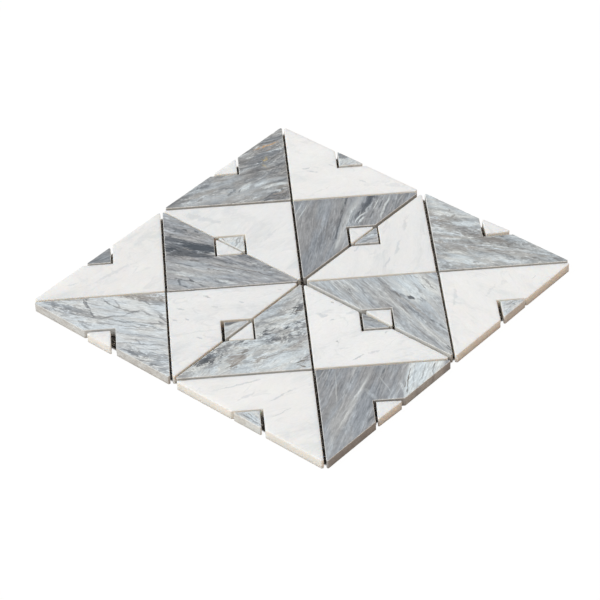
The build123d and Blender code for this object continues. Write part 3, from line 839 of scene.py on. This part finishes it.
        nudge=(-0.6, 0.3, 0.2), grain=(-58, 9, 3.0, 0.8, 8.2),
        shades=((180, 184, 187), (204, 209, 211), (220, 225, 226)), sawn=(212, 209, 200), glow=0.2,
        marks=[
            ("lead", -58, -148, -44, -166, 0.7, 0.7), ("chalk", -54, -148, -44, -162, 0.8, 0.7),
            ("taupe", -63, -149, -53, -160, 0.7, 0.6), ("slate", -52, -150, -44, -164, 0.35, 0.7)]),
    "edge_grey_insert_4": dict(
        nudge=(0.8, 0.4, 0.4), grain=(35, 9, 2.4, 1.2, 9.2),
        shades=((188, 193, 196), (205, 210, 212), (218, 223, 225)), sawn=(224, 216, 206), glow=0.4,
        marks=[
            ("ash", 150, -48, 166, -42, 0.9, 0.6), ("taupe", 152, -55, 158, -46, 0.6, 0.6),
            ("ash", 158, -44, 162, -50, 0.6, 0.6)]),
    "centre_white_1": dict(
        grow=0.7, grain=(40, 34, 2.2, 1.2, 1.1),
        marks=[
            ("smoke", -84, 96, -60, 84, 3, 0.35), ("haze", -50, 100, -30, 80, 5, 0.4),
            ("smoke", -32, 52, -14, 70, 2, 0.25)]),
    "centre_white_2": dict(
        grain=(10, 30, 2.0, 1.2, 2.4), flecks=0.035, sawn=(216, 206, 192),
        marks=[
            ("ash", -76.5, -9.5, -73.5, -12, 1.3, 0.7, 0, 1, 1, 0.8),
            ("smoke", -99, -22, -95, -24, 1.2, 0.9), ("smoke", -103, -35, -100, -37, 1, 0.7),
            ("smoke", -93, -35, -91.5, -37, 0.9, 0.9), ("smoke", -84, -59, -81, -61, 1, 0.8),
            ("smoke", -50, -20, -47, -21, 0.8, 0.7), ("smoke", -72, -23, -68, -24, 0.8, 0.5),
            ("smoke", -20, -8, -17, -10, 0.7, 0.7), ("haze", -104, -54, -60, -50, 1.2, 0.6)]),
    "centre_white_3": dict(
        grow=-0.7, lift=3, grain=(15, 30, 2.0, 1.2, 3.6), flecks=0.035,
        marks=[
            ("ash", 20.5, -28, 22, -29.5, 1, 0.5), ("smoke", 9, -42, 15, -44, 2, 0.6),
            ("ash", 20, -76.5, 21, -78, 0.8, 0.5), ("smoke", 57, -71, 60, -69, 0.9, 0.7),
            ("mist", 30, -100, 40, -94, 0.6, 0.7, 0.6), ("smoke", 43, -93, 50, -91, 1.4, 0.5),
            ("smoke", 18, -51, 22, -50, 1, 0.7), ("smoke", 30, -44, 37, -43, 1.6, 0.4),
            ("smoke", 20, -86, 30, -84, 1, 0.4), ("smoke", 26, -33, 30, -31, 0.7, 0.6)]),
    "centre_white_4": dict(
        grow=-0.6, lift=-2, grain=(75, 26, 2.6, 1.2, 4.8),
        marks=[
            ("smoke", 76, 28, 82, 44, 1.2, 0.5), ("smoke", 66, 12, 72, 22, 1, 0.55),
            ("smoke", 86, 56, 90, 74, 1.4, 0.4), ("smoke", 44, 34, 48, 40, 0.9, 0.5)]),
    "edge_white_1": dict(
        grain=(10, 32, 2.0, 1.2, 5.9),
        marks=[
            ("mist", 12, 149, 18, 150, 0.7, 0.6, 1), ("smoke", 16, 146, 24, 143, 0.8, 0.7),
            ("smoke", 34, 152, 38, 150, 0.7, 0.6), ("smoke", 56, 128, 62, 124, 1.2, 0.4)]),
    "edge_white_2": dict(
        lift=-3, grain=(35, 30, 2.4, 1.2, 6.4),
        marks=[
            ("smoke", -160, 20, -130, 40, 1.6, 0.35), ("smoke", -190, 14, -168, 22, 1.4, 0.4),
            ("haze", -130, 60, -112, 84, 3, 0.4)]),
    "edge_white_3": dict(
        grain=(25, 28, 2.4, 1.2, 7.1), sawn=(219, 214, 204), rim=(216, 213, 207),
        marks=[
            ("smoke", -70, -122, -40, -114, 0.8, 0.6), ("smoke", -36, -140, -16, -128, 0.8, 0.6),
            ("mist", -34, -158, -20, -150, 0.4, 0.6), ("smoke", -60, -136, -44, -128, 1.4, 0.4)]),
    "edge_white_4": dict(
        grain=(-60, 30, 2.4, 1.2, 8.8),
        marks=[
            ("smoke", 118, -20, 112, -52, 1.4, 0.35), ("mist", 178, -18, 182, -14, 0.4, 0.6),
            ("smoke", 150, -20, 140, -34, 1.2, 0.3)]),
    "edge_white_insert_1": dict(nudge=(0.3, 1.2, 0.2)),
    "edge_white_insert_2": dict(
        nudge=(-1.8, -0.4, 0.2), tips=(3.2, 1.4), sawn=(224, 219, 210), rim=(222, 219, 213)),
    "edge_white_insert_3": dict(nudge=(0.3, -0.2, -2.0)),
    "edge_white_insert_4": dict(nudge=(0.8, 1.6, 3.0)),
    "centre_white_insert_1": dict(nudge=(-0.35, -0.7, 0.2), grow=0.7),
    "centre_white_insert_2": dict(nudge=(0.5, -0.8, 0.3)),
    "centre_white_insert_3": dict(nudge=(0.6, 0.3, -2.0)),
    "centre_white_insert_4": dict(nudge=(0.0, -0.1, -0.6)),
}

# the white inserts' grains differ in angle and seed only, and the edge whites are paler than the centre ones
whiteInsert = dict(angleStep=30, bedSize=26, stretch=2.0, swirl=1.0, seed=9.3, seedStep=1.7)
for number in range(1, 5):
    for place in ("centre", "edge"):
        angle = whiteInsert["angleStep"] * number
        seed = whiteInsert["seed"] + number * whiteInsert["seedStep"] + len(place)
        bedShape = (whiteInsert[key] for key in ("bedSize", "stretch", "swirl"))
        looks[f"{place}_white_insert_{number}"]["grain"] = (angle, *bedShape, seed)
    looks[f"edge_white_{number}"]["shades"] = ((226, 229, 229), (239, 239, 238), (243, 243, 242))

# grid crossing, turn of the right angle, insert of each stone in the first quarter
quarter = {
    "centre_white": ((0, cell), 180, "centre_grey_insert"),
    "centre_grey": ((-cell, 0), 0, "centre_white_insert"),
    "edge_grey": ((0, cell), 90, "edge_white_insert"),
    "edge_white": ((0, cell), 0, "edge_grey_insert"),
}
# spread of the shift in mm and the twist in degrees where a look gives no nudge, and limits of the blunt tips
stoneLay = dict(shift=0.14, twist=0.07, tips=(1.5, 2.8), insertTips=(1.2, 1.9))


def layStone(name, legLine, notchLine, crossing, turn, number):
    own = looks[name]
    tips = own.get("tips", rng.uniform(*stoneLay["tips" if notchLine else "insertTips"], 2))
    corners = stoneCorners(legLine, notchLine, *tips, own.get("grow", 0.0))
    toSheet = turnBy(diagonal + 90 * number)
    facing = toSheet @ turnBy(turn)
    if "nudge" in own:
        right, away, twist = own["nudge"]
        shift = facing.T @ turnBy(diagonal) @ np.array([right, away])
    else:
        shift = rng.normal(0, stoneLay["shift"], 2)
        twist = rng.normal(0, stoneLay["twist"])
    middle = corners.mean(0)
    corners = (corners - middle) @ turnBy(twist).T + middle + shift
    place = (facing, toSheet @ np.array(crossing))
    piece = stonePiece(name.replace("_", "-"), corners, place, sheet["netThick"])
    colour = "white" if "white" in name else "grey"
    look = {**(whiteLook if colour == "white" else greyLook), **own}
    piece.data.materials.append(stoneMaterial(name + "_stone", look))
    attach(piece, "root")
    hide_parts(name)


halfJoint = sheet["joint"] / 2
for number in range(4):
    for stoneName, (crossing, turn, insertName) in quarter.items():
        grid = (crossing, turn, number)
        layStone(f"{stoneName}_{number + 1}", halfJoint, insertLine - halfJoint, *grid)
        layStone(f"{insertName}_{number + 1}", insertLine + halfJoint, None, *grid)
print("stones laid")

# backing net in mm: warps of two strands twisted round flat wefts; half a yarn's width in the part sets how
# many there are; fuzz and dust are scale, detail and roughness of a noise
net = dict(
    drift=(-1.0, 3.0), warpPitch=4.6, weftPitch=4.0, warpYarnHalf=0.45, weftYarnHalf=0.55,
    strand=0.13, twist=0.17, perPitch=3, strandSides=4,
    weftHalfWide=0.5, weftHalfHigh=0.11, weftStray=0.05, weftSides=6,
    dark=(16, 16, 18), pale=(44, 43, 44), fuzz=(3.0, 3.0, 0.6), fuzzSpan=(0.3, 0.7),
    dustColor=(226, 220, 208), dust=(0.8, 2.0, 0.6), dustSpan=(0.57, 0.62), dustCover=0.85,
    roughness=0.5, bump=0.4, bumpHeight=0.0001)


def yarnTubes(name, paths, across, halfWide, halfHigh, sides):
    # an oval carried along each path: path + across * wide * cos + up * high * sin
    around = np.linspace(0, 2 * np.pi, sides, endpoint=False)[:, None]
    oval = halfWide * np.cos(around) * np.array(across) + halfHigh * np.sin(around) * np.array((0, 0, 1.0))
    points = paths[:, :, None, :] + oval[None, None]
    index = np.arange(points[..., 0].size).reshape(points.shape[:3])
    quads = ringQuads(index)
    caps = np.concatenate([index[:, 0, ::-1], index[:, -1]])
    faces = quads.tolist() + caps.tolist()
    smooth = np.array([True] * len(quads) + [False] * len(caps))
    return buildMesh(name, points.reshape(-1, 3) / perMetre, faces, smooth)


def makeNetMaterial():
    material, tree = newMaterial("netYarn")
    place = stoneCoords(tree)
    fuzz = noise(tree, place, *net["fuzz"])
    color = blendColor(tree, remap(tree, fuzz, *net["fuzzSpan"]), srgb(*net["dark"]), srgb(*net["pale"]))
    dust = remap(tree, noise(tree, place, *net["dust"]), *net["dustSpan"])
    dust = calc(tree, "MULTIPLY", dust, net["dustCover"])
    color = blendColor(tree, dust, color, srgb(*net["dustColor"]))
    inputs = {"Height": fuzz, "Strength": net["bump"], "Distance": net["bumpHeight"]}
    bump = put(tree, "ShaderNodeBump", inputs).outputs[0]
    inputs = {"Base Color": color, "Normal": bump, "Roughness": net["roughness"]}
    shader = put(tree, "ShaderNodeBsdfPrincipled", inputs)
    put(tree, "ShaderNodeOutputMaterial", {"Surface": shader.outputs[0]})
    return material


def layNet():
    half = sheet["netSide"] / 2
    middle = sheet["netThick"] / 2
    driftX, driftY = net["drift"]
    warps = int((half - net["warpYarnHalf"]) // net["warpPitch"])
    wefts = int((half - net["weftYarnHalf"]) // net["weftPitch"])
    run = np.linspace(-half, half, int(2 * half / net["weftPitch"] * net["perPitch"]) + 1)
    phase = np.pi * run / net["weftPitch"] + np.pi / 2          # half a turn between weft yarns
    rows = np.arange(-warps, warps + 1) * net["warpPitch"]
    pieces = []
    for side, chosen in (("left", rows[rows < 0]), ("right", rows[rows >= 0])):
        strands = []
        for start in (0, np.pi):
            x = chosen[:, None] + driftX + net["twist"] * np.cos(phase + start)[None]
            z = middle + net["twist"] * np.sin(phase + start)[None] + 0 * x
            strands.append(np.stack([x, np.broadcast_to(run + driftY, x.shape), z], -1))
        strand = (net["strand"], net["strand"], net["strandSides"])
        piece = yarnTubes("net-warp-" + side, np.concatenate(strands), (1, 0, 0), *strand)
        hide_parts("net_warp")
        pieces.append(piece)
    run = np.linspace(-half, half, 2 * len(rows) + 1)
    rows = np.arange(-wefts, wefts + 1) * net["weftPitch"]
    x = np.broadcast_to(run + driftX, (len(rows), len(run)))
    y = rows[:, None] + driftY + rng.normal(0, net["weftStray"], (len(rows), len(run)))
    paths = np.stack([x, y, np.full(x.shape, middle)], -1)
    weft = (net["weftHalfWide"], net["weftHalfHigh"], net["weftSides"])
    piece = yarnTubes("net-weft", paths, (0, 1, 0), *weft)
    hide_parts("net_weft")
    pieces.append(piece)
    yarn = makeNetMaterial()
    for piece in pieces:
        piece.data.materials.append(yarn)
        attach(piece, "root")


layNet()
print("net laid")

# crumbs of glue and stone dust that lie on the net in the open joints, sizes in mm
crumbs = dict(
    perLine=520, perSquare=52, spread=0.6, size=(0.3, 0.6), rise=3.6, lowness=3, margin=1,
    color=(240, 236, 228), roughness=0.8, seed=23)


def crumbSpots(dice):
    # along the three joint lines of one direction, and along two sides of every insert square
    half = sheet["side"] / math.sqrt(2)
    right, away = [], []
    for line in (-cell, 0.0, cell):
        right.append(np.full(crumbs["perLine"], line))
        away.append(dice.uniform(-1, 1, crumbs["perLine"]) * (half - abs(line)))
    # middles of the cells that lie on the sheet, counted in cells from its own middle
    steps = (-1.5, -0.5, 0.5, 1.5)
    for a, b in [(a, b) for a in steps for b in steps if abs(a) + abs(b) < 2.5]:
        side = np.where(dice.random(crumbs["perSquare"]) < 0.5, -0.5, 0.5)
        right.append(a * cell + side * sheet["insertSquare"])
        away.append(b * cell + dice.uniform(-0.5, 0.5, crumbs["perSquare"]) * sheet["insertSquare"])
    spots = np.stack([np.concatenate(right), np.concatenate(away)], -1)
    spots[:, 0] += dice.normal(0, crumbs["spread"], len(spots))
    spots = spots @ turnBy(diagonal).T
    reach = sheet["netSide"] / 2 - crumbs["margin"]
    return spots[(abs(spots - np.array(net["drift"])) < reach).all(1)]


def makeCrumbs():
    # each crumb is an eight-sided lump: six corners out along the axes, stretched by its own size
    dice = np.random.default_rng(crumbs["seed"])
    spots = crumbSpots(dice)
    size = dice.uniform(*crumbs["size"], (len(spots), 1, 3))
    rise = sheet["netThick"] + dice.random(len(spots)) ** crumbs["lowness"] * crumbs["rise"]
    lump = np.array([(1, 0, 0), (0, 1, 0), (-1, 0, 0), (0, -1, 0), (0, 0, 1), (0, 0, -1)], float)
    sides = np.array([(0, 1, 4), (1, 2, 4), (2, 3, 4), (3, 0, 4), (1, 0, 5), (2, 1, 5), (3, 2, 5), (0, 3, 5)])
    points = lump[None] * size + np.concatenate([spots, rise[:, None]], 1)[:, None]
    faces = (np.arange(len(spots))[:, None, None] * len(lump) + sides[None]).reshape(-1, 3)
    smooth = np.ones(len(faces), bool)
    piece = buildMesh("net-crumbs", points.reshape(-1, 3) / perMetre, faces.tolist(), smooth)
    material, tree = newMaterial("crumb")
    inputs = {"Base Color": srgb(*crumbs["color"]), "Roughness": crumbs["roughness"]}
    shader = put(tree, "ShaderNodeBsdfPrincipled", inputs)
    put(tree, "ShaderNodeOutputMaterial", {"Surface": shader.outputs[0]})
    piece.data.materials.append(material)
    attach(piece, "root")
    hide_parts("net_weft")


makeCrumbs()
print("crumbs strewn")

# floor and light: the floor is painted dark in a square beneath the sheet, as painted shade in the open
# joints, with a soft rim that is a painted contact shadow; its middle, half side and soft rim are in mm;
# floorShade is how far shadows show on the pale floor; sky is the light from most sides, dusk the light from
# the side that duskSide points to
studio = dict(
    floorSize=12.0, bounce=(0.6, 0.53, 0.47), glow=1.17, under=(0.2, 0.18, 0.16), floorShade=0.16,
    darkAt=(-2.4, 3.0), darkHalf=151.2, paintedShadowFade=2.0,
    sky=(0.56, 0.572, 0.588), dusk=(0.56, 0.44, 0.36), duskSide=(1.0, 0.2, 0.0), duskSpan=(-0.1, 0.7),
    keyFrom=(-0.68, -1.3, 1.3), keySize=24, keyPower=2.25, keyColor=(0.95, 0.983, 0.985))


def makeFloor():
    s = studio["floorSize"]
    corners = np.array([(-s, -s, 0), (s, -s, 0), (s, s, 0), (-s, s, 0)], float)
    floor = buildMesh("floor", corners, [[0, 1, 2, 3]], np.array([False]))
    material, tree = newMaterial("paleFloor")
    ray = tree.nodes.new("ShaderNodeLightPath").outputs
    seen = calc(tree, "MAXIMUM", ray["Is Camera Ray"], ray["Is Glossy Ray"])
    seen = calc(tree, "MAXIMUM", seen, ray["Is Transmission Ray"])
    matt = put(tree, "ShaderNodeBsdfDiffuse", {"Color": (*studio["bounce"], 1)})
    # the dark diffuse beneath the sheet is painted shade, which darkens the open joints
    shadowed = put(tree, "ShaderNodeBsdfDiffuse", {"Color": (*studio["under"], 1)})
    glow = put(tree, "ShaderNodeEmission", {"Color": (1, 1, 1, 1), "Strength": studio["glow"]})
    spot = separate(tree, tree.nodes.new("ShaderNodeTexCoord").outputs["Object"])
    aside = []
    for axis in (0, 1):
        fromMiddle = calc(tree, "SUBTRACT", spot[axis], studio["darkAt"][axis] / perMetre)
        aside.append(calc(tree, "ABSOLUTE", fromMiddle))
    # the fade from dark to pale round the sheet is a painted contact shadow
    fadeFrom = (studio["darkHalf"] - studio["paintedShadowFade"]) / perMetre
    outside = remap(tree, calc(tree, "MAXIMUM", *aside), fadeFrom, studio["darkHalf"] / perMetre)
    share = calc(tree, "MULTIPLY", outside, 1 - studio["floorShade"])
    pale = put(tree, "ShaderNodeMixShader", {0: share, 1: shadowed.outputs[0], 2: glow.outputs[0]})
    both = put(tree, "ShaderNodeMixShader", {0: seen, 1: matt.outputs[0], 2: pale.outputs[0]})
    put(tree, "ShaderNodeOutputMaterial", {"Surface": both.outputs[0]})
    floor.data.materials.append(material)


def makeWorld():
    world = bpy.data.worlds.new("studio")
    bpy.context.scene.world = world
    world.use_nodes = True
    tree = world.node_tree
    tree.nodes.clear()
    ray = tree.nodes.new("ShaderNodeLightPath").outputs
    away = tree.nodes.new("ShaderNodeTexCoord").outputs["Generated"]
    duskSide = remap(tree, vec(tree, "DOT_PRODUCT", away, studio["duskSide"]), *studio["duskSpan"])
    color = blendColor(tree, duskSide, (*studio["sky"], 1), (*studio["dusk"], 1))
    light = put(tree, "ShaderNodeBackground", {"Color": color})
    white = put(tree, "ShaderNodeBackground", {"Color": (1, 1, 1, 1), "Strength": 1.0})
    inputs = {0: ray["Is Camera Ray"], 1: light.outputs[0], 2: white.outputs[0]}
    both = put(tree, "ShaderNodeMixShader", inputs)
    put(tree, "ShaderNodeOutputWorld", {"Surface": both.outputs[0]})


def placeObject(name, data, axes, spot):
    # axes holds the object's own x, y and z as columns
    holder = bpy.data.objects.new(name, data)
    bpy.context.scene.collection.objects.link(holder)
    holder.matrix_world = Matrix([[*axes[i], spot[i]] for i in range(3)] + [[0, 0, 0, 1]])
    return holder


def makeKeyLamp():
    lamp = bpy.data.lights.new("keyLamp", "SUN")
    lamp.angle = math.radians(studio["keySize"])
    lamp.energy = studio["keyPower"]
    lamp.color = studio["keyColor"]
    back = np.array(studio["keyFrom"]) / np.linalg.norm(studio["keyFrom"])
    side = np.cross((0, 0, 1.0), back)
    side /= np.linalg.norm(side)
    placeObject("keyLamp", lamp, np.stack([side, np.cross(back, side), back], 1), studio["keyFrom"])


# angles in degrees, distance and aim in pattern units, focal length in pixels of a picture this wide
view = dict(
    azimuth=-2.888, elevation=38.702, roll=-2.456, distance=2070.0, aim=(-3.62, -22.86), focal=2670.7,
    pictureWidth=600, sensorWidth=36.0, clip=(0.05, 50))


def makeCamera():
    # set out in the sheet's diagonal directions, in pattern units, and turned into the part's frame
    az, el, roll = (math.radians(view[key]) for key in ("azimuth", "elevation", "roll"))
    back = np.array([math.sin(az) * math.cos(el), -math.cos(az) * math.cos(el), math.sin(el)])
    right = np.array([math.cos(az), math.sin(az), 0])
    up = np.cross(back, right)
    sideways = right * math.cos(roll) + up * math.sin(roll)
    upright = up * math.cos(roll) - right * math.sin(roll)
    spot = (np.array([*view["aim"], 0]) + back * view["distance"]) / patternScale
    turn = np.eye(3)
    turn[:2, :2] = turnBy(diagonal)
    axes = turn @ np.stack([sideways, upright, back], 1)
    spot = turn @ spot + np.array([0, 0, (sheet["netThick"] + sheet["thick"]) / perMetre])
    camera = bpy.data.cameras.new("camera")
    camera.sensor_width = view["sensorWidth"]
    camera.lens = view["focal"] * view["sensorWidth"] / view["pictureWidth"]
    camera.clip_start, camera.clip_end = view["clip"]
    bpy.context.scene.camera = placeObject("camera", camera, axes, spot)


makeFloor()
makeWorld()
makeKeyLamp()
makeCamera()
bpy.context.scene.view_settings.view_transform = "Standard"
print("floor, light and camera set")
